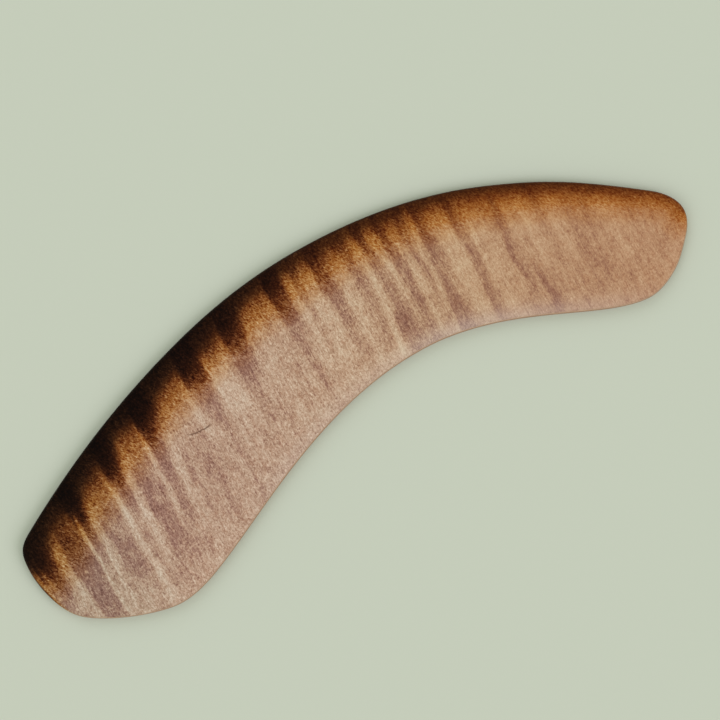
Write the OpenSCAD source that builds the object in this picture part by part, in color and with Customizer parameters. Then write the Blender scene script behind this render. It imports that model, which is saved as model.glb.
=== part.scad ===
// Broad wooden throwing boomerang, lying flat with its crowned face up.
//
// The blank is a stack of wood laminae glued face to face: a thick figured
// face lamina, seven thin core plies whose grain crosses from one to the next,
// and a thin back lamina. The glued stack is carved as one: the rim is rounded
// all the way round and the top is gently crowned, while the underside stays
// flat. Each lamina is the slice of that carved blank between two glue lines.
//
// X runs along the chord from the left tip to the right tip, +Y points to the
// convex leading edge, and Z = 0 is the flat underside.

/* [Outline] */
// Distance from tip to tip along the chord
span = 360; // [300:5:450]

/* [Lay-up] */
// Thickness of the face lamina under the highest part of the crown
face_t = 2.6; // [2.4:0.1:4]
// Thickness of one core ply
core_ply_t = 0.6; // [0.5:0.05:0.8]
// Thickness of the back lamina
back_t = 1.2; // [0.8:0.1:2]

/* [Carving] */
// Height of the crown above the top of the rim
crown_rise = 2; // [1:0.1:2.2]
// How far the rim rounds inwards at its top and at its bottom
rim_round = 1.3; // [0.6:0.1:2]

/* [Hidden] */
CORE_PLIES = 7;

// Heights of the glue lines and of the top of the rim
core_top = back_t + CORE_PLIES * core_ply_t;
thickness = core_top + face_t;
rim_top = thickness - crown_rise;

// Both edges run from the left tip to the right tip as chains of Bezier
// curves. A knot is [x, y, heading in degrees, handle before, handle after],
// in millimetres for the drawn span.
drawn_span = 360;
convex_knots = [
    [-180, -13, 90, 0, 10],
    [-171, 4.5, 30, 9, 39],
    [-80, 45.5, 18, 29, 30],
    [5, 61, 1, 30, 38],
    [100, 45, -22, 28, 29],
    [170, 4, -37, 36, 8],
    [180, -11.5, -90, 5, 0],
];
concave_knots = [
    [-180, -13, -90, 0, 9],
    [-170, -42, -46, 9, 12],
    [-123, -61, -2, 14, 29],
    [38, -10, -1, 70, 46],
    [143, -41, -6, 26, 10],
    [168, -30.5, 46, 6, 10],
    [180, -11.5, 90, 7, 0],
];

// Mesh density: points along each Bezier curve before it is respaced, strips
// from tip to tip, rows of facets up the rim and columns across the crown
curve_steps = 16;
strips = 48;
rim_rows = 8;
columns = 10;
// How strongly the strips crowd together towards the tips, 0 to 1
crowding = 0.62;
// Share of the length over which the crown falls away towards each tip
tip_fall = 0.14;
// How far the outermost slabs reach past the blank, so that they cut it whole
past = 1;

function heading(angle) = [cos(angle), sin(angle)];
function flat(knot) = [knot.x, knot.y];
function mix(a, b, t) = a + (b - a) * t;

function bezier(a, b, t) =
    let (a_out = flat(a) + a[4] * heading(a[2]),
         b_in = flat(b) - b[3] * heading(b[2]),
         s = 1 - t)
    s * s * s * flat(a) + 3 * s * s * t * a_out + 3 * s * t * t * b_in + t * t * t * flat(b);

// A chain of knots as closely spaced points at the chosen span
function drawn(knots) = [
    for (k = [0:len(knots) - 2], i = [(k == 0 ? 0 : 1):curve_steps])
        bezier(knots[k], knots[k + 1], i / curve_steps) * span / drawn_span
];

// Running length of a line of points, starting at 0
function lengths(line) = [
    for (i = 0, run = 0; i < len(line);
         i = i + 1, run = run + (i < len(line) ? norm(line[i] - line[i - 1]) : 0))
        run
];

// Share of an edge's length at strip boundary i, crowded towards both tips
function share(i) = i / strips - crowding * sin(360 * i / strips) / (2 * PI);

// Points of a line at the given shares of its length
function respaced(line, shares) =
    let (run = lengths(line),
         xs = [for (i = [0:len(line) - 1]) [run[i], line[i].x]],
         ys = [for (i = [0:len(line) - 1]) [run[i], line[i].y]],
         whole = run[len(run) - 1])
    [for (s = shares) [lookup(s * whole, xs), lookup(s * whole, ys)]];

stations = [for (i = [0:strips]) share(i)];
convex = respaced(drawn(convex_knots), stations);
concave = respaced(drawn(concave_knots), stations);

// The closed outline, clockwise from the left tip, with the convex edge first
around = 2 * strips;
outline = concat(convex, [for (i = [strips - 1:-1:1]) concave[i]]);

// Unit vector from outline point i into the wood
function inward(i) =
    let (d = outline[(i + 1) % around] - outline[(i + around - 1) % around])
    [d.y, -d.x] / norm(d);

// The rim is widest at half its height, and draws in by rim_round at its top
// and at its bottom
function rim_inset(z) = rim_round * pow(abs(2 * z / rim_top - 1), 3);
function rim_ring(z) = [
    for (i = [0:around - 1])
        let (p = outline[i] + rim_inset(z) * inward(i))
        [p.x, p.y, z]
];
rim_rings = [for (k = [0:rim_rows]) rim_ring(rim_top * (1 - cos(180 * k / rim_rows)) / 2)];
top_ring = rim_rings[rim_rows];

// Rises from 0 to 1 and levels off
function dome(t) = 1 - (1 - t) * (1 - t);

// Height of the crown over the rim, at shares of the way along and across
function crown_height(along, across) =
    crown_rise * dome(2 * min(across, 1 - across))
    * dome(min(along, 1 - along, tip_fall) / tip_fall);

crown_points = [
    for (i = [1:strips - 1], c = [1:columns - 1])
        mix(top_ring[i], top_ring[around - i], c / columns)
        + [0, 0, crown_height(stations[i], c / columns)]
];

// Index of the crown's point at strip boundary i, column c. The outer columns
// and both tips lie on the top ring.
function crown_index(i, c) =
    c == 0 || i == 0 || i == strips ? rim_rows * around + i
    : c == columns ? rim_rows * around + around - i
    : (rim_rows + 1) * around + (i - 1) * (columns - 1) + c - 1;

module carved_blank() {
    walls = [
        for (k = [0:rim_rows - 1], i = [0:around - 1])
            let (low = k * around, high = low + around, j = (i + 1) % around)
            each [[low + i, low + j, high + j], [low + i, high + j, high + i]]
    ];
    crown = [
        for (i = [0:strips - 1], c = [0:columns - 1])
            let (a = crown_index(i, c), b = crown_index(i + 1, c),
                 d = crown_index(i + 1, c + 1), e = crown_index(i, c + 1))
            each concat(i < strips - 1 ? [[a, b, d]] : [], i > 0 ? [[a, d, e]] : [])
    ];
    // Strips across the width, from each convex point to its concave partner
    underside = concat(
        [for (i = [0:strips - 2]) [around - i - 1, i + 1, i]],
        [for (i = [1:strips - 1]) [around - i, around - i - 1, i]]);
    polyhedron([for (r = rim_rings) each r, each crown_points],
               concat(walls, crown, underside));
}

// The layer of the carved blank between two heights
module lamina(low, high) {
    intersection() {
        carved_blank();
        translate([-span, -span, low])
            cube([2 * span, 2 * span, high - low]);
    }
}

module face_lamina() {
    color("burlywood") lamina(core_top, thickness + past);
}

// Ply 1 lies on the back lamina, and odd and even plies cross their grain
module core_ply(n) {
    low = back_t + (n - 1) * core_ply_t;
    color(n % 2 == 1 ? "peru" : "tan") lamina(low, low + core_ply_t);
}

module back_lamina() {
    color("burlywood") lamina(-past, back_t);
}

face_lamina();
for (n = [1:CORE_PLIES])
    core_ply(n);
back_lamina();
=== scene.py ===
"""Looks of the laminated boomerang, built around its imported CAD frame.

Lengths in this script are millimetres in the CAD's own frame: X along the chord from the left
tip to the right tip, +Y towards the convex edge, Z = 0 on the flat underside. They turn into
metres where a mesh is made. Colours are written as sRGB values from 0 to 255.
"""

import math

import bpy
import numpy as np
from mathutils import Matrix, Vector, noise


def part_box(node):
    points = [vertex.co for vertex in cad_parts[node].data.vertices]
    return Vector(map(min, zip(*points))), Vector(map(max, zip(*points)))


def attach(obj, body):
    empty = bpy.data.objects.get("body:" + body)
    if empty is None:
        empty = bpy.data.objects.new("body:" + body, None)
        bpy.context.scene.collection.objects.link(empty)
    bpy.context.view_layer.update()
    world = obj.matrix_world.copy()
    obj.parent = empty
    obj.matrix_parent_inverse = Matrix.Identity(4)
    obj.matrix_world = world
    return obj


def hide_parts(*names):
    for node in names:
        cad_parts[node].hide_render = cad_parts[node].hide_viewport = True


MM = 0.001
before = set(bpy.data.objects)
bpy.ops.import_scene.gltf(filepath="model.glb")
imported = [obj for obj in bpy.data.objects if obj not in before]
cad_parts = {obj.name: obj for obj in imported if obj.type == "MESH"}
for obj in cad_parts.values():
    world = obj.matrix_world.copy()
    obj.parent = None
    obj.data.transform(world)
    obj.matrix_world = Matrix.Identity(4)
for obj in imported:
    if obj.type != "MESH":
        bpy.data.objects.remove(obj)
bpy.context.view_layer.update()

# ---------------------------------------------------------------- sizes
CORE_PLIES = [f"core_ply_{n}" for n in range(1, 8)]
LAMINAE = ["back_lamina", *CORE_PLIES, "face_lamina"]
WIDEST_PLY = "core_ply_3"  # its upper side is where the rim is widest
CROWN_RISE = 2.0  # height of the crown above the top of the rim
RIM_ROUND = 1.3  # how far the rim draws in at its top and bottom
TIP_FALL = 0.14  # share of the length over which the crown falls away to each tip
GLUE_GROOVE = 0.05  # chamfer that shows each glue line at the rim

BACK_ROWS = 6  # rows of facets up the back lamina's rim
FACE_ROWS = 5  # rows of facets up the face lamina's rim
ROW_CROWDING = 1.5  # power that crowds those rows towards the rim's sharper turns
FACE_STRIPS = 620  # strips from tip to tip of the face
FACE_COLUMNS = 100  # columns of facets across the crown
PLY_STRIPS = 420  # strips from tip to tip of the other laminae
BACK_COLUMNS = 60  # columns of facets across the underside
TIP_CROWDING = 0.62  # how strongly the strips crowd towards the tips
SHARP_ANGLE = 40  # degrees above which an edge between facets isn't smoothed

heights = {name: [round(corner.z / MM, 3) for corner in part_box(name)] for name in LAMINAE}
thickness = heights["face_lamina"][1]
rim_top = thickness - CROWN_RISE


# ---------------------------------------------------------------- outline from the frame
def top_loop(node):
    """The closed outline of a CAD ply's upper side, in order, as an array of X and Y."""
    mesh = node.data
    points = [tuple(round(c / MM, 3) for c in v.co) for v in mesh.vertices]
    top = max(p[2] for p in points)
    uses = {}
    for polygon in mesh.polygons:
        ring = [points[i] for i in polygon.vertices]
        if all(p[2] == top for p in ring):
            for a, b in zip(ring, ring[1:] + ring[:1]):
                edge = frozenset((a[:2], b[:2]))
                uses[edge] = uses.get(edge, 0) + 1
    neighbours = {}
    for edge, count in uses.items():
        if count == 1:  # an edge of one top face only is on the outline
            a, b = edge
            neighbours.setdefault(a, []).append(b)
            neighbours.setdefault(b, []).append(a)
    first = min(neighbours)
    loop = [first]
    here = max(neighbours[first], key=lambda p: p[1])  # start along the convex edge
    while here != first:
        loop.append(here)
        here = next(p for p in neighbours[here] if p != loop[-2])
    return np.array(loop)


class Outline:
    """A smooth closed curve through the corners of the CAD outline."""

    def __init__(self, corners):
        self.corners = corners
        steps = np.linalg.norm(np.roll(corners, -1, 0) - corners, axis=1)
        self.knots = np.concatenate([[0], np.cumsum(steps)])
        self.curvature = self.second_derivatives(steps)
        self.right_tip = self.knots[int(np.argmax(corners[:, 0]))]

    def second_derivatives(self, steps):
        """Periodic cubic spline: solve for the second derivative at each corner."""
        count = len(self.corners)
        matrix = np.zeros((count, count))
        rhs = np.zeros((count, 2))
        for i in range(count):
            before, after = steps[i - 1], steps[i]
            previous, following = self.corners[i - 1], self.corners[(i + 1) % count]
            matrix[i, i - 1] += before / 6
            matrix[i, i] += (before + after) / 3
            matrix[i, (i + 1) % count] += after / 6
            rhs[i] = (following - self.corners[i]) / after - (self.corners[i] - previous) / before
        return np.linalg.solve(matrix, rhs)

    def at(self, distances):
        """Points on the curve at the given distances round it."""
        d = np.mod(distances, self.knots[-1])
        i = np.clip(np.searchsorted(self.knots, d, side="right") - 1, 0, len(self.corners) - 1)
        j = (i + 1) % len(self.corners)
        step = (self.knots[i + 1] - self.knots[i])[:, None]
        b = (d - self.knots[i])[:, None] / step
        a = 1 - b
        bend = (a**3 - a) * self.curvature[i] + (b**3 - b) * self.curvature[j]
        return a * self.corners[i] + b * self.corners[j] + bend * step**2 / 6

    def edges(self, shares):
        """Both edges from the left tip to the right tip, as matching rows of points."""
        whole = self.knots[-1]
        return self.at(shares * self.right_tip), self.at(whole - shares * (whole - self.right_tip))


outline = Outline(top_loop(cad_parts[WIDEST_PLY]))


# ---------------------------------------------------------------- carved laminae
def rim_inset(z):
    """How far the rim lies inside the widest outline at a height."""
    return RIM_ROUND * abs(2 * z / rim_top - 1) ** 3


def dome(t):
    """Rises from 0 to 1 and levels off."""
    return 1 - (1 - t) ** 2


class Carving:
    """The surface of one carved lamina: rings up its rim, closed by its two broad sides."""

    def __init__(self, strips):
        self.strips, self.around = strips, 2 * strips
        self.shares = np.linspace(0, 1, strips + 1)
        self.shares -= TIP_CROWDING * np.sin(2 * np.pi * self.shares) / (2 * np.pi)
        convex, concave = outline.edges(self.shares)
        self.rim = np.concatenate([convex, concave[-2:0:-1]])
        along = np.roll(self.rim, -1, 0) - np.roll(self.rim, 1, 0)
        along /= np.linalg.norm(along, axis=1)[:, None]
        self.inward = np.stack([along[:, 1], -along[:, 0]], 1)
        self.rings = []
        self.inner = np.empty((0, 3))
        self.faces = []

    def add_ring(self, z, inset):
        """A ring at height z, pulled in from the rim, and the wall up to it."""
        flat = self.rim + inset * self.inward
        self.rings.append(np.column_stack([flat, np.full(self.around, z)]))
        high = (len(self.rings) - 1) * self.around
        low = high - self.around
        for i in range(self.around if low >= 0 else 0):
            j = (i + 1) % self.around
            self.faces.append((low + j, low + i, high + i, high + j))

    def add_side(self, up, columns=1):
        """A broad side of strips across the width, on the first ring or the last one.

        It comes after the last ring, because its inner points follow the rings' points."""
        ring = self.rings[-1 if up else 0]
        first = (len(self.rings) - 1) * self.around if up else 0
        inner = len(self.rings) * self.around + len(self.inner)
        n, around = self.strips, self.around

        def index(i, c):
            if c == 0 or i in (0, n):
                return first + i
            if c == columns:
                return first + around - i
            return inner + (i - 1) * (columns - 1) + c - 1

        for i in range(n):
            for c in range(columns):
                corners = (index(i, c), index(i + 1, c), index(i + 1, c + 1), index(i, c + 1))
                face = tuple(dict.fromkeys(corners))
                self.faces.append(face[::-1] if up else face)
        across = np.arange(1, columns)[None, :, None] / columns
        upper, lower = ring[1:n, None], ring[:n:-1, None]
        self.inner = np.concatenate([self.inner, (upper + (lower - upper) * across).reshape(-1, 3)])

    def raise_crown(self, columns):
        """Lifts the inner points of the upper side, the only ones of the face, into the crown."""
        across = np.arange(1, columns) / columns
        along = np.minimum(self.shares, 1 - self.shares)[1:-1] / TIP_FALL
        rise = np.outer(dome(np.minimum(along, 1)), dome(2 * np.minimum(across, 1 - across)))
        self.inner[:, 2] += CROWN_RISE * rise.ravel()

    def points(self):
        """All points of the surface, in the order that the faces count them."""
        return np.concatenate([*self.rings, self.inner])


def carved_ply(name):
    """A lamina between two glue lines, or between the floor and the lowest glue line."""
    low, high = heights[name]
    shape = Carving(PLY_STRIPS)
    if low > 0:
        shape.add_ring(low, rim_inset(low) + GLUE_GROOVE)
        for z in (low + GLUE_GROOVE, (low + high) / 2, high - GLUE_GROOVE):
            shape.add_ring(z, rim_inset(z))
    else:
        for z in (high - GLUE_GROOVE) * np.linspace(0, 1, BACK_ROWS + 1) ** ROW_CROWDING:
            shape.add_ring(z, rim_inset(z))
    shape.add_ring(high, rim_inset(high) + GLUE_GROOVE)
    shape.add_side(up=False, columns=BACK_COLUMNS if low == 0 else 1)
    shape.add_side(up=True)
    return shape


def carved_face(name):
    """The top lamina: its rim, and its crown above it."""
    low = heights[name][0]
    shape = Carving(FACE_STRIPS)
    shape.add_ring(low, rim_inset(low) + GLUE_GROOVE)
    wall = rim_top - low - GLUE_GROOVE
    for z in rim_top - wall * np.linspace(1, 0, FACE_ROWS + 1) ** ROW_CROWDING:
        shape.add_ring(z, rim_inset(z))
    shape.add_side(up=False)
    shape.add_side(up=True, columns=FACE_COLUMNS)
    shape.raise_crown(FACE_COLUMNS)
    return shape


# ---------------------------------------------------------------- figure and scorch
# The figure of the face, band by band. Each band runs from its upper end to its lower end:
# x, y, x, y, half width, strength at the upper end, strength at the lower end. A positive
# strength is dark, and a negative one pale.
DARK_BANDS = [
    (-176, -14, -174, -32, 0.9, 0.8, 0.4),
    (-172, -12, -169, -38, 1.3, 0.8, 0.4),
    (-168, -14, -165, -42, 1.6, 0.7, 0.4),
    (-170, -9, -168, -28, 4.3, 0.75, 0.85),
    (-155, -10, -154, -22, 5.4, 0.9, 1.1),
    (-156, -20, -153, -50, 4.8, 0.85, 0.8),
    (-147, 22, -146, -3, 3.6, 1.1, 0.95),
    (-144, -3, -145, -20, 3.0, 1.1, 0.5),
    (-133, -6, -132, -32, 5.4, 0.5, 0.45),
    (-121, 34, -121, 8, 4.3, 1.2, 0.95),
    (-121, 10, -121, -6, 2.8, 1.1, 0.7),
    (-122, -6, -122, -26, 1.8, 0.5, 0.2),
    (-107, 30, -107, 4, 3.2, 0.3, 0.4),
    (-109, 4, -109, -33, 4.8, 0.5, 0.55),
    (-96, 42, -95, 16, 5.6, 1.1, 0.9),
    (-96, 16, -97, 4, 4.4, 0.95, 0.6),
    (-97, 4, -97, -24, 3.0, 0.45, 0.3),
    (-87, 4, -87, -18, 2.0, 0.3, 0.3),
    (-78, 5, -78, -12, 4.0, 0.2, 0.2),
    (-63, 52, -65, 30, 6.6, 1.1, 0.9),
    (-65, 30, -65, 12, 4.6, 0.75, 0.3),
    (-64, 4, -62, -32, 1.2, 0.25, 0.15),
    (-53, 54, -53, 34, 5.0, 0.4, 0.55),
    (-40, 56, -39, 38, 5.2, 1.1, 1.0),
    (-39.5, 38, -39.5, 16, 5.2, 1.0, 0.4),
    (-42, 16, -43, 7, 2.0, 0.4, 0.2),
    (-11, 60, -11, 34, 4.2, 1.0, 1.0),
    (-11, 34, -11, 18, 3.0, 0.8, 0.25),
    (-11, 5, -11, -6, 2.0, 0.4, 0.4),
    (-1, 52, -1, 30, 1.1, 0.6, 0.3),
    (12, 58, 12, 36, 3.6, 0.65, 0.85),
    (12, 36, 13, -4, 2.6, 0.4, 0.1),
    (26, 54, 27, 36, 2.6, 0.35, 0.1),
    (27, 32, 26, -2, 2.2, 0.12, 0.15),
    (37, 56, 37, 18, 3.2, 0.7, 0.3),
    (37, 14, 37, -11, 4.8, 0.4, 0.75),
    (47, 52, 47, 10, 2.8, 0.55, 0.4),
    (47, 10, 46, -11, 3.2, 0.3, 0.5),
    (57, 52, 57, 36, 2.6, 0.4, 0.2),
    (57, 34, 57, -10, 2.2, 0.2, 0.3),
    (65, 52, 64, 22, 2.2, 0.6, 0.6),
    (63, 22, 62, -13, 3.2, 0.6, 0.8),
    (80, 44, 80, 8, 2.0, 0.6, 0.4),
    (79, 2, 78, -16, 2.2, 0.4, 0.5),
    (100, 36, 97, 10, 1.3, 0.4, 0.7),
    (97, 10, 98, -12, 1.3, 0.65, 0.35),
    (104, -9, 105, -24, 1.8, 0.85, 0.8),
    (107, 40, 107, 26, 2.2, 0.2, 0.1),
    (118, 36, 119, 20, 2.0, 0.3, 0.1),
    (130, -3, 131, -26, 4.0, 0.15, 0.1),
    (143, -2, 143, -16, 1.1, 0.2, 0.15),
    (149, -4, 149, -18, 1.1, 0.3, 0.2),
]
PALE_BANDS = [
    (-164, -14, -164, -34, 2.2, -0.4, -0.4),
    (-148, -3, -147, -48, 0.8, -1.0, -0.7),
    (-141, -4, -141, -34, 2.0, -0.6, -0.5),
    (-125, 0, -125, -52, 1.8, -0.75, -0.6),
    (-116, 6, -118, -38, 1.8, -0.95, -0.4),
    (-102, 12, -102, -18, 0.9, -1.0, -0.5),
    (-91, 14, -92, -22, 2.6, -0.7, -0.3),
    (-72, 24, -70, 4, 2.2, -0.6, -0.4),
    (-53, 31, -52, 6, 5.6, -0.8, -0.6),
    (-110, 24, -110, 8, 4.0, -0.5, -0.3),
    (-27, 38, -28, 6, 6.0, -0.25, -0.1),
    (-75, -22, 20, -2, 12.0, -0.15, -0.1),
    (-37, 12, -38, 0, 2.4, -0.45, -0.35),
    (-59, 8, -58, -16, 2.0, -0.35, -0.3),
    (-16, 10, -16, -8, 1.8, -0.3, -0.3),
    (-7, 10, -7, -8, 1.8, -0.4, -0.3),
    (-4, 50, -3, 8, 2.6, -0.6, -0.5),
    (5, 44, 5, 6, 3.4, -0.5, -0.5),
    (20, 42, 20, 10, 3.2, -0.5, -0.35),
    (31, 54, 34, 38, 1.7, -0.7, -0.6),
    (34, 38, 29, -6, 2.1, -0.6, -0.8),
    (40, 50, 44, 20, 1.5, -0.8, -0.6),
    (52, 40, 52, 2, 1.6, -0.4, -0.4),
    (61, 50, 59, 12, 1.3, -0.6, -0.5),
    (58, 2, 58, -12, 1.2, -0.5, -0.5),
    (73, 33, 73, -10, 4.2, -0.5, -0.3),
    (85, 24, 85, -8, 1.8, -0.5, -0.5),
    (89, 32, 89, -6, 4.0, -0.4, -0.1),
    (105, 30, 105, 8, 2.4, -0.3, -0.3),
    (111, 28, 111, 6, 2.8, -0.55, -0.4),
    (125, 22, 124, 2, 3.0, -0.35, -0.3),
    (147, 6, 147, -16, 5.5, -0.45, -0.4),
]

CRISP_SIDE = 0.6  # fade of a band's left side
SOFT_SIDE = 2.0  # fade of its right side
END_FADE = 5.0  # fade beyond its ends

# Noises over a piece: strength, size along X, size along Y, seed
BEND_X = [(1.3, 9, 16, 3.1), (0.5, 3, 9, 7.7)]  # move the bands sideways, in millimetres
BEND_Y = [(2.5, 6, 12, 5.3)]  # moves them lengthwise
RAGGED = [(0.9, 6, 4, 31.7), (0.5, 1.6, 3, 33.9)]  # move the scorch's border, in millimetres
FACE_UNEVEN = [(0.26, 3.2, 26, 11.9)]
BACK_UNEVEN = [(0.9, 8, 60, 21.3), (0.54, 3.5, 40, 24.1)]
CORE_UNEVEN = (0.5, 6, 6)
CORE_SEED = 40.0  # seed of the lowest core ply, from which the others count up

# The wood pales along the concave edge: place along X, and how much there
HOLLOW_X = (-172, -155, -110, -20, 10, 60, 100)
PALE_HOLLOW = (0.0, 0.25, 0.15, 0.15, 0.3, 0.2, 0.1)
HOLLOW_WIDTH = 9.0
HOLLOW_FADE = 4.0

# Painted sheen: a greyish highlight over its last few millimetres, where the rounded edge catches the
# light. Place along X, and how much there
PAINTED_SHEEN_X = (-75, -50, 0, 25, 50, 80, 130, 155)
PAINTED_SHEEN = (0.0, 0.2, 0.2, 0.25, 0.45, 0.42, 0.24, 0.0)
PAINTED_SHEEN_WIDTH = 5.0
PAINTED_SHEEN_FADE = 4.0

# The scorch along the convex edge: place along X, depth and strength of the char, how much
# deeper the char runs in a fully dark band, and depth of the amber toning beyond it.
SCORCH_X = (-180, -158, -147, -120, -60, -30, 5, 60, 100, 150, 180)
CHAR_DEPTH = (12.6, 9, 11.2, 11, 10.5, 8.5, 7.4, 5.7, 4.4, 3.6, 1.9)
CHAR_STRENGTH = (0.57, 0.57, 0.57, 0.57, 0.57, 0.53, 0.44, 0.42, 0.4, 0.38, 0.35)
CHAR_REACH = (8, 5.5, 10, 8.5, 6.5, 7, 5, 3, 2, 1.5, 1)
CHAR_FADE = 4.6  # half the width of the char's own soft edge
DARK_CHAR_FADE = 9.0  # the same in a fully dark band
SCORCH_SOFTNESS = 2.0  # the bands' sides are this much softer in the scorch
PALEST = -0.15  # the scorch doesn't follow the figure below this
DARKEST = 1.15  # or above this
TONE_DEPTH = (24, 24, 25, 24, 22.5, 21.5, 19.3, 16.5, 14.5, 10.5, 5)
TONE_STRENGTH = 0.42
TONE_FADE = 9.0
TONE_REACH = 3.0  # how much deeper the toning runs in a fully dark band
NOSE_TOP = -2.0  # where along Y the charred edge ends at the left tip
NOSE_END = -33.0  # where along Y the burnt line below that has half faded
NOSE_FADE = 5.0
NOSE_REACH = -160.0  # the burnt line stays left of this
NOSE_BURN = 0.85
NOSE_DEPTH = 1.2
BACK_SHARE = 0.6  # share of the face's scorch depth that the underside has
CORE_SHARE = 0.8  # the same for the core plies

EDGE_POINTS = 500  # points along each edge, to measure distances from
CHUNK = 2000  # points measured at once, to save memory


def soft_step(x):
    """Rises smoothly from 0 to 1 round x = 0."""
    return 0.5 * (1 + np.tanh(x))


def wander(points, size_x, size_y, seed):
    """Smooth noise from -1 to 1 that changes over the given lengths."""
    return np.array([noise.noise(Vector((x / size_x, y / size_y, seed))) for x, y in points])


def noise_sum(points, noises):
    """Several such noises added up, each with its strength."""
    return sum(strength * wander(points, *how) for strength, *how in noises)


def nearest(points, line):
    """Distance from each point to the nearest point of a line."""
    found = [
        np.sqrt(((part[:, None, :] - line[None]) ** 2).sum(2).min(1))
        for part in np.array_split(points, max(1, len(points) // CHUNK))
    ]
    return np.concatenate(found)


convex_line, concave_line = outline.edges(np.linspace(0, 1, EDGE_POINTS))
char_line = convex_line[(convex_line[:, 1] > NOSE_TOP) | (convex_line[:, 0] > 0)]
nose_line = np.concatenate([convex_line, concave_line])
nose_line = nose_line[(nose_line[:, 0] < NOSE_REACH) & (nose_line[:, 1] < NOSE_TOP)]


def band_strength(points, band, softness):
    """How strongly one band covers each point: crisp on its left side and soft on its right."""
    x0, y0, x1, y1, half_width, upper, lower = band
    start, run = np.array([x0, y0]), np.array([x1 - x0, y1 - y0])
    t = np.clip((points - start) @ run / (run @ run), 0, 1)
    side, past = (points - start - t[:, None] * run).T
    fade = min(1, half_width / SOFT_SIDE)  # a narrow band has crisper sides
    across = soft_step((half_width + side) / (CRISP_SIDE * softness * fade))
    across *= soft_step((half_width - side) / (SOFT_SIDE * softness * fade))
    return (upper + (lower - upper) * t) * across / (1 + (past / END_FADE) ** 2)


def banding(points, softness=1.0):
    """The bands of the face, bent a little, with their sides softened."""
    bent = points.copy()
    bent[:, 0] += noise_sum(points, BEND_X)
    bent[:, 1] += noise_sum(points, BEND_Y)
    dark = np.max([band_strength(bent, b, softness) for b in DARK_BANDS], axis=0)
    pale = np.min([band_strength(bent, b, softness) for b in PALE_BANDS], axis=0)
    return dark + pale


def face_figure(points):
    """Darkness of the face's wood: about 1 in a dark band and below 0 in a pale one."""
    hollow = soft_step((HOLLOW_WIDTH - nearest(points, concave_line)) / HOLLOW_FADE)
    hollow *= np.interp(points[:, 0], HOLLOW_X, PALE_HOLLOW)
    return banding(points) - hollow + noise_sum(points, FACE_UNEVEN)


def face_painted_sheen(points):
    """How much of the painted sheen, a greyish highlight along the concave edge, lies on each point."""
    near = soft_step((PAINTED_SHEEN_WIDTH - nearest(points, concave_line)) / PAINTED_SHEEN_FADE)
    return near * np.interp(points[:, 0], PAINTED_SHEEN_X, PAINTED_SHEEN)


def scorch(points, figure, depth_share=1.0):
    """0 for bare wood, about 0.4 for amber toning and 1 for black char."""
    x = points[:, 0]
    depth = nearest(points, char_line) + noise_sum(points, RAGGED)
    dark = np.clip(figure, PALEST, DARKEST)
    char = np.interp(x, SCORCH_X, CHAR_DEPTH) * depth_share
    char += np.interp(x, SCORCH_X, CHAR_REACH) * dark
    char_fade = CHAR_FADE + (DARK_CHAR_FADE - CHAR_FADE) * np.clip(dark, 0, 1)
    tone = np.interp(x, SCORCH_X, TONE_DEPTH) * depth_share + TONE_REACH * dark
    burn = np.interp(x, SCORCH_X, CHAR_STRENGTH) * soft_step((char - depth) / char_fade)
    burn += TONE_STRENGTH * soft_step((tone - depth) / TONE_FADE)
    nose = NOSE_BURN * soft_step((NOSE_DEPTH - nearest(points, nose_line)) / NOSE_DEPTH)
    nose *= soft_step((points[:, 1] - NOSE_END) / NOSE_FADE)
    return np.maximum(burn, nose)


# ---------------------------------------------------------------- materials
def srgb(r, g, b):
    """An sRGB colour as the linear colour that shaders take."""
    linear = [((c / 255 + 0.055) / 1.055) ** 2.4 if c > 10 else c / 255 / 12.92 for c in (r, g, b)]
    return (*linear, 1.0)


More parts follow.
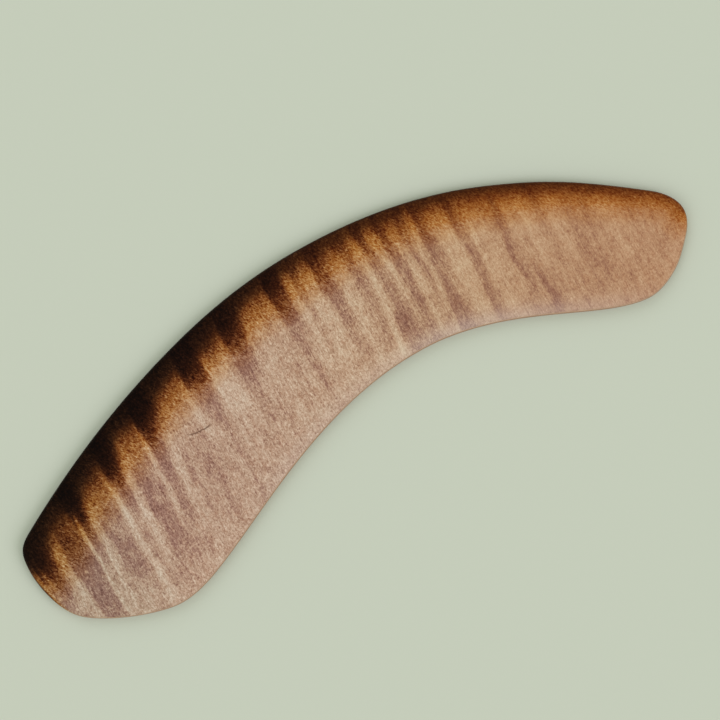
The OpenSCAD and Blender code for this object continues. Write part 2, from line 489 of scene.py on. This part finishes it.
class Nodes:
    """A material, with short names for the shader nodes used here."""

    def __init__(self, name):
        self.material = bpy.data.materials.new(name)
        self.material.use_nodes = True
        self.tree = self.material.node_tree
        self.shader = self.tree.nodes["Principled BSDF"]

    def link(self, value, socket):
        """Feeds a socket from another one, or sets its value."""
        if isinstance(value, bpy.types.NodeSocket):
            self.tree.links.new(value, socket)
        else:
            socket.default_value = value

    def attribute(self, name):
        node = self.tree.nodes.new("ShaderNodeAttribute")
        node.attribute_name = name
        return node.outputs["Fac"]

    def place(self, sizes=(1, 1, 1), turn=0.0):
        """Object coordinates in units of the given sizes, turned about Z by some degrees."""
        vector = self.tree.nodes.new("ShaderNodeTexCoord").outputs["Object"]
        for title, value in (("Rotation", (0, 0, math.radians(turn))),
                             ("Scale", [1 / (size * MM) for size in sizes])):
            mapping = self.tree.nodes.new("ShaderNodeMapping")
            mapping.inputs[title].default_value = value
            self.tree.links.new(vector, mapping.inputs["Vector"])
            vector = mapping.outputs["Vector"]
        return vector

    def axes(self):
        """X, Y and Z in millimetres."""
        node = self.tree.nodes.new("ShaderNodeSeparateXYZ")
        self.tree.links.new(self.place(), node.inputs["Vector"])
        return node.outputs

    def grain(self, sizes, detail=2.0, rough=0.5, distortion=0.0, turn=0.0):
        """Noise from 0 to 1 whose features have the given sizes along X, Y and Z."""
        node = self.tree.nodes.new("ShaderNodeTexNoise")
        self.tree.links.new(self.place(sizes, turn), node.inputs["Vector"])
        node.inputs["Scale"].default_value = 1.0
        node.inputs["Detail"].default_value = detail
        node.inputs["Roughness"].default_value = rough
        node.inputs["Distortion"].default_value = distortion
        return node.outputs["Fac"]

    def math(self, operation, a, b=0.0, c=0.0):
        node = self.tree.nodes.new("ShaderNodeMath")
        node.operation = operation
        for value, socket in zip((a, b, c), node.inputs):
            self.link(value, socket)
        return node.outputs["Value"]

    def around_half(self, value, amount):
        """A 0 to 1 noise as a swing of plus or minus half the amount."""
        return self.math("MULTIPLY_ADD", value, amount, -amount / 2)

    def ramp(self, value, stops):
        """A colour for each value, from stops of a position and a colour."""
        node = self.tree.nodes.new("ShaderNodeValToRGB")
        while len(node.color_ramp.elements) < len(stops):
            node.color_ramp.elements.new(1.0)
        for element, (position, colour) in zip(node.color_ramp.elements, stops):
            element.position = position
            element.color = srgb(*colour)
        self.link(value, node.inputs["Fac"])
        return node.outputs["Color"]

    def span(self, value, low, high, new_low=0.0, new_high=1.0):
        """Eases from the first new value to the second while the value goes from low to high."""
        node = self.tree.nodes.new("ShaderNodeMapRange")
        node.interpolation_type = "SMOOTHSTEP"
        ends = (low, high, new_low, new_high)
        for end, name in zip(ends, ("From Min", "From Max", "To Min", "To Max")):
            self.link(end, node.inputs[name])
        self.link(value, node.inputs["Value"])
        return node.outputs["Result"]

    def mix(self, factor, a, b, blend="MIX"):
        """Two colours mixed. The node's other sockets are for numbers and vectors."""
        node = self.tree.nodes.new("ShaderNodeMix")
        node.data_type = "RGBA"
        node.blend_type = blend
        self.link(factor, node.inputs[0])
        self.link(a, node.inputs[6])
        self.link(b, node.inputs[7])
        return node.outputs[2]

    def tinted(self, colour, factor, tint):
        """The colour multiplied by a tint as far as the factor says."""
        return self.mix(factor, colour, srgb(*tint), "MULTIPLY")

    def speckled(self, colour, grain, amount):
        """The colour made darker where a 0 to 1 noise is high, and brighter where it is low."""
        swing = self.math("MULTIPLY", self.math("SUBTRACT", 0.5, grain), amount)
        return self.mix(1.0, colour, self.math("EXPONENT", swing), "MULTIPLY")

    def flecked(self, colour, grain, amount):
        """The same by a change of gamma, which keeps the flecks of a deep colour neutral."""
        node = self.tree.nodes.new("ShaderNodeGamma")
        swing = self.math("MULTIPLY", self.math("SUBTRACT", grain, 0.5), amount)
        self.link(self.math("EXPONENT", swing), node.inputs["Gamma"])
        self.link(colour, node.inputs["Color"])
        return node.outputs["Color"]

    def surface(self, colour, grain, roughness, gloss):
        """Sets the look of the wood. A 0 to 1 noise moves the roughness between two values."""
        self.link(colour, self.shader.inputs["Base Color"])
        self.link(self.span(grain, 0.2, 0.8, *roughness), self.shader.inputs["Roughness"])
        self.shader.inputs["Specular IOR Level"].default_value = gloss

    def bump(self, height, depth):
        """A fine relief, with its depth in millimetres."""
        node = self.tree.nodes.new("ShaderNodeBump")
        node.inputs["Distance"].default_value = depth * MM
        self.link(height, node.inputs["Height"])
        self.tree.links.new(node.outputs["Normal"], self.shader.inputs["Normal"])


# What the scorch leaves of the wood's own colour, from none of it to black char
SCORCH_STOPS = [
    (0.00, (255, 255, 255)), (0.06, (254, 246, 233)), (0.25, (237, 199, 139)),
    (0.36, (211, 161, 92)), (0.50, (166, 113, 60)), (0.68, (110, 72, 38)),
    (0.84, (66, 42, 24)), (1.00, (25, 14, 6)),
]


def scorched(m, wood, burn):
    """The wood's colour under the scorch."""
    return m.mix(1.0, wood, m.ramp(burn, SCORCH_STOPS), "MULTIPLY")


CHECK = (-75, 7.2)  # middle of the hairline drying check across the fibres
CHECK_SLOPE = -0.07
CHECK_BEND = 0.02
CHECK_HALF_LENGTH = 7.0
CHECK_HALF_WIDTH = 0.3
CHECK_TAPER = 0.6  # share of its half length beyond which it fades
CHECK_GRAIN = (1.5, 1.5, 1.0)  # size of its small bends
CHECK_WOBBLE = 1.6  # how far they swing from side to side
CHECK_COLOUR = (96, 62, 48)
CHECK_OPACITY = 0.7


def drying_check(m):
    """1 on the one fine crack in the face, and 0 elsewhere."""
    x, y, _ = m.axes()
    along = m.math("SUBTRACT", x, CHECK[0])
    curve = m.math("MULTIPLY_ADD", along, CHECK_SLOPE, CHECK[1])
    curve = m.math("MULTIPLY_ADD", m.math("MULTIPLY", along, along), CHECK_BEND, curve)
    wobble = m.around_half(m.grain(CHECK_GRAIN), CHECK_WOBBLE)
    off = m.math("ABSOLUTE", m.math("SUBTRACT", m.math("ADD", y, wobble), curve))
    inside = m.span(off, CHECK_HALF_WIDTH, 2 * CHECK_HALF_WIDTH, 1.0, 0.0)
    taper = CHECK_TAPER * CHECK_HALF_LENGTH
    ends = m.span(m.math("ABSOLUTE", along), taper, CHECK_HALF_LENGTH, 1.0, 0.0)
    return m.math("MULTIPLY", inside, ends)


# Colours of the face's bare wood, from the palest to the darkest
FACE_STOPS = [
    (0.00, (216, 195, 177)), (0.28, (200, 170, 150)), (0.47, (186, 151, 130)),
    (0.70, (159, 119, 106)), (1.00, (127, 87, 80)),
]
FACE_RANGE = (-1.6, 1.8)  # darkness at the first stop and at the last one
BLUSH_TINT = (240, 222, 212)  # blotches on the bare wood
# Colour of the painted sheen, a greyish highlight along the concave edge
PAINTED_SHEEN_COLOUR = (205, 191, 187)

# Tints along X: where each one sets in, where it is full, and its colour
WOOD_TINTS = [(-80, 100, (255, 248, 226)), (90, 160, (251, 245, 242))]
SCORCHED_TINTS = [(-105, -155, (245, 254, 254)), (40, 110, (255, 250, 251))]

# Noises of the face: sizes of their features along X, Y and Z
FIBRES = (0.5, 7.0, 3.0)
SPECKLE = (0.8, 1.3, 1.0)
FLECKS = (0.6, 1.6, 1.0)
FLECK_TURN = -35  # degrees
MOTTLE = (7.0, 9.0, 5.0)
BLOTCHES = (2.0, 3.0, 2.0)
# How much some of them swing the wood's darkness
FIBRE_SWING = 1.8
SPECKLE_SWING = 2.0
MOTTLE_SWING = 1.6

# Stretches of the scorch level over which something changes
SCORCHED = (0.0, 0.12)  # the scorch's colours set in
TONED = (0.05, 0.3)  # the marks of bare wood grow weaker
FLECKED = (0.03, 0.25)  # the flecks set in
CHARRED = (0.45, 0.8)  # the flecks grow weaker again

# Stretches of X over which marks grow weaker towards the right
UNEVEN_CALMS = (40, 130)
SPECKLE_CALMS = (-20, 120)
FLECKS_CALM = (20, 120)


def face_wood():
    """Curly wood with its fibres across the chord, satin oiled and scorched."""
    m = Nodes("figured_face_wood")
    fibres = m.grain(FIBRES, detail=3.0, rough=0.6)
    speckle = m.grain(SPECKLE, detail=2.0, rough=0.75, distortion=0.8)
    flecks = m.grain(FLECKS, detail=2.0, rough=0.7, distortion=0.5, turn=FLECK_TURN)
    mottle = m.grain(MOTTLE, detail=3.0, rough=0.7)
    scorch_level = m.attribute("burn")
    x, _, _ = m.axes()

    # The bare wood: its bands, made uneven by the noises
    uneven = m.math("ADD", m.around_half(fibres, FIBRE_SWING), m.around_half(speckle, SPECKLE_SWING))
    uneven = m.math("ADD", uneven, m.around_half(mottle, MOTTLE_SWING))
    uneven = m.math("MULTIPLY", uneven, m.span(x, *UNEVEN_CALMS, 1.0, 0.8))
    uneven = m.math("MULTIPLY", uneven, m.span(scorch_level, *TONED, 1.0, 0.4))
    darkness = m.math("ADD", m.attribute("figure"), uneven)
    wood = m.ramp(m.span(darkness, *FACE_RANGE), FACE_STOPS)
    for start, end, tint in WOOD_TINTS:
        wood = m.tinted(wood, m.span(x, start, end), tint)
    blush = m.span(m.grain(BLOTCHES, detail=4.0, rough=0.75), 0.45, 0.68)
    blush = m.math("MULTIPLY", blush, m.span(scorch_level, *TONED, 0.5, 0.15))
    wood = m.tinted(wood, blush, BLUSH_TINT)
    # Painted sheen: the greyish highlight mixed over the wood near the concave edge
    wood = m.mix(m.attribute("painted_sheen"), wood, srgb(*PAINTED_SHEEN_COLOUR))

    # The scorch over it, which the mottle makes uneven
    burn = m.math("ADD", scorch_level, m.around_half(mottle, 0.07))
    burn = m.math("MULTIPLY", burn, m.span(scorch_level, *SCORCHED))
    colour = scorched(m, wood, burn)
    for start, end, tint in SCORCHED_TINTS:
        colour = m.tinted(colour, m.span(x, start, end), tint)

    # Fine marks over both: speckle mostly on the bare wood, and slanting flecks in the amber
    bare = m.span(scorch_level, *TONED, 1.0, 0.2)
    gain = m.math("MULTIPLY", m.span(x, *SPECKLE_CALMS, 0.8, 0.35), bare)
    colour = m.speckled(colour, speckle, gain)
    colour = m.flecked(colour, speckle, m.span(x, *SPECKLE_CALMS, 0.7, 0.3))
    amount = m.math("MULTIPLY", m.span(scorch_level, *FLECKED), m.span(scorch_level, *CHARRED, 3.0, 1.2))
    amount = m.math("MULTIPLY", amount, m.span(x, *FLECKS_CALM, 1.0, 0.6))
    colour = m.flecked(colour, flecks, amount)
    crack = m.math("MULTIPLY", drying_check(m), CHECK_OPACITY)
    colour = m.mix(crack, colour, srgb(*CHECK_COLOUR))

    m.surface(colour, speckle, (0.42, 0.56), 0.05)
    m.bump(m.math("ADD", fibres, speckle), 0.05)
    return m.material


BACK_STOPS = [
    (0.00, (200, 175, 146)), (0.45, (182, 147, 115)), (0.75, (164, 124, 98)), (1.00, (143, 104, 84)),
]
BACK_RANGE = (-1.4, 1.4)  # darkness at the first stop and at the last one


def back_wood():
    """Plain wood with its fibres across the chord, for the flat underside."""
    m = Nodes("back_wood")
    fibres = m.grain((0.45, 9.0, 3.0), detail=4.0, rough=0.6)
    rings = m.grain((4.0, 90.0, 9.0), detail=3.0, rough=0.55, distortion=1.2)
    speckle = m.grain((0.8, 1.2, 1.0), detail=3.0, rough=0.65)
    shade = m.attribute("figure")
    for grain, swing in ((fibres, 1.2), (rings, 1.6), (speckle, 0.6)):
        shade = m.math("ADD", shade, m.around_half(grain, swing))
    wood = m.ramp(m.span(shade, *BACK_RANGE), BACK_STOPS)
    burn = m.math("ADD", m.attribute("burn"), m.around_half(speckle, 0.2))
    m.surface(scorched(m, wood, burn), fibres, (0.45, 0.6), 0.12)
    m.bump(m.math("ADD", fibres, speckle), 0.05)
    return m.material


# The two core woods: palest and darkest colour, and sizes of the fibres along X, Y and Z
LENGTHWISE = ((203, 172, 146), (170, 134, 110), (9.0, 9.0, 0.25))
CROSSWISE = ((168, 130, 106), (124, 90, 70), (0.3, 0.3, 0.3))


def core_wood(name, pale, dark, fibre_sizes):
    """The cut edge of a core ply: lines of long grain, or dots of end grain."""
    m = Nodes(name)
    fibres = m.grain(fibre_sizes, detail=4.0, rough=0.65)
    pores = m.grain((0.35, 0.35, 0.2), detail=2.0)
    shade = m.math("ADD", fibres, m.around_half(pores, 0.5))
    wood = m.ramp(m.span(shade, 0.2, 0.8), [(0.0, pale), (1.0, dark)])
    burn = m.math("ADD", m.attribute("burn"), m.around_half(pores, 0.2))
    m.surface(scorched(m, wood, burn), fibres, (0.5, 0.68), 0.12)
    m.bump(shade, 0.06)
    return m.material


# ---------------------------------------------------------------- pieces
def solid(name, shape, material, **levels):
    """A smooth mesh of a carved lamina. Each level is a value per point, for its material."""
    mesh = bpy.data.meshes.new(name)
    mesh.from_pydata(shape.points() * MM, [], shape.faces)
    for title, values in levels.items():
        layer = mesh.attributes.new(title, "FLOAT", "POINT")
        layer.data.foreach_set("value", np.asarray(values, np.float32))
    mesh.polygons.foreach_set("use_smooth", [True] * len(mesh.polygons))
    mesh.set_sharp_from_angle(angle=math.radians(SHARP_ANGLE))
    mesh.materials.append(material)
    piece = bpy.data.objects.new(name, mesh)
    bpy.context.scene.collection.objects.link(piece)
    return piece


def place(piece, node):
    """Sets a piece in the frame in place of its CAD node."""
    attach(piece, "root")
    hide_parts(node)


def make_face():
    shape = carved_face("face_lamina")
    points = shape.points()[:, :2]
    burn = scorch(points, banding(points, SCORCH_SOFTNESS))
    # The painted sheen along the concave edge goes in as a value per point, like the figure and the
    # scorch
    levels = {"figure": face_figure(points), "burn": burn, "painted_sheen": face_painted_sheen(points)}
    place(solid("face_wood", shape, face_wood(), **levels), "face_lamina")


def make_back():
    shape = carved_ply("back_lamina")
    points = shape.points()[:, :2]
    figure = noise_sum(points, BACK_UNEVEN)
    burn = scorch(points, figure, BACK_SHARE)
    place(solid("back_wood", shape, back_wood(), figure=figure, burn=burn), "back_lamina")


def make_core():
    """The core plies from the back up, whose grain crosses from one to the next."""
    woods = [
        core_wood("lengthwise_core_wood", *LENGTHWISE),
        core_wood("crosswise_core_wood", *CROSSWISE),
    ]
    for n, name in enumerate(CORE_PLIES):
        shape = carved_ply(name)
        points = shape.points()[:, :2]
        figure = noise_sum(points, [(*CORE_UNEVEN, CORE_SEED + n)])
        burn = scorch(points, figure, CORE_SHARE)
        place(solid(f"core_wood_{n + 1}", shape, woods[n % 2], figure=figure, burn=burn), name)


make_face()
make_back()
make_core()


# ---------------------------------------------------------------- camera, floor and light
PHOTO_TURN = 28.9  # degrees by which the chord rises to the right in the picture
FRAME_WIDTH = 347.0  # width of the picture at the boomerang's rim
SIDESTEP = (7.3, 4.1)  # centre of the picture from the boomerang's, to the right and up
LENS = 90.0
SENSOR_WIDTH = 36.0
CLIP_END = 100.0  # metres, beyond the far end of the floor

FLOOR_HALF = 40000  # half the side of the floor
FLOOR_COLOUR = (206, 212, 198)
BACKDROP = (0.558, 0.604, 0.491)  # the lit floor's colour, so that no horizon shows

LIGHT_ANGLE = 40.0  # how wide each light looks from the boomerang, in degrees
LIGHT_TINT = (0.92, 0.84, 1.0)  # makes up for the tint of the backdrop's light
# The lights: direction they come from, and strength
LIGHTS = {
    "key": ((0.9, -1.1, 1.3), 0.98),
    "fill": ((-1.2, -0.3, 1.2), 0.38),
    "back": ((0.1, 1.4, 1.2), 0.41),
}


def make_camera():
    """Straight above the boomerang, turned as in the photo."""
    data = bpy.data.cameras.new("camera")
    data.lens = LENS
    data.sensor_width = SENSOR_WIDTH
    data.clip_end = CLIP_END
    camera = bpy.data.objects.new("camera", data)
    turn = math.radians(-PHOTO_TURN)
    right = Vector((math.cos(turn), math.sin(turn)))
    up = Vector((-math.sin(turn), math.cos(turn)))
    centre = right * SIDESTEP[0] + up * SIDESTEP[1]
    distance = FRAME_WIDTH * LENS / SENSOR_WIDTH
    camera.location = Vector((centre.x, centre.y, rim_top / 2 + distance)) * MM
    camera.rotation_euler = (0, 0, turn)
    bpy.context.scene.collection.objects.link(camera)
    bpy.context.scene.camera = camera


def make_floor():
    """A plain pale floor, so large that its end can't be seen."""
    half = FLOOR_HALF * MM
    mesh = bpy.data.meshes.new("floor")
    corners = [(-half, -half, 0), (half, -half, 0), (half, half, 0), (-half, half, 0)]
    mesh.from_pydata(corners, [], [(0, 1, 2, 3)])
    floor = bpy.data.objects.new("floor", mesh)
    bpy.context.scene.collection.objects.link(floor)
    material = bpy.data.materials.new("floor")
    material.use_nodes = True
    shader = material.node_tree.nodes["Principled BSDF"]
    shader.inputs["Base Color"].default_value = srgb(*FLOOR_COLOUR)
    shader.inputs["Roughness"].default_value = 0.9
    shader.inputs["Specular IOR Level"].default_value = 0.1
    mesh.materials.append(material)


def make_light(name, origin, strength):
    """A broad soft light from far away, which reaches all of the floor alike."""
    data = bpy.data.lights.new(name, "SUN")
    data.angle = math.radians(LIGHT_ANGLE)
    data.energy = strength
    data.color = LIGHT_TINT
    light = bpy.data.objects.new(name, data)
    light.location = origin
    light.rotation_euler = (-Vector(origin)).to_track_quat("-Z", "Y").to_euler()
    bpy.context.scene.collection.objects.link(light)


def make_world():
    """An even backdrop all round, which also lights the scene."""
    world = bpy.data.worlds.new("studio")
    world.use_nodes = True
    world.node_tree.nodes["Background"].inputs["Color"].default_value = (*BACKDROP, 1.0)
    bpy.context.scene.world = world


make_camera()
make_floor()
make_world()
for name, (origin, strength) in LIGHTS.items():
    make_light(name, origin, strength)
bpy.context.scene.view_settings.view_transform = "Standard"
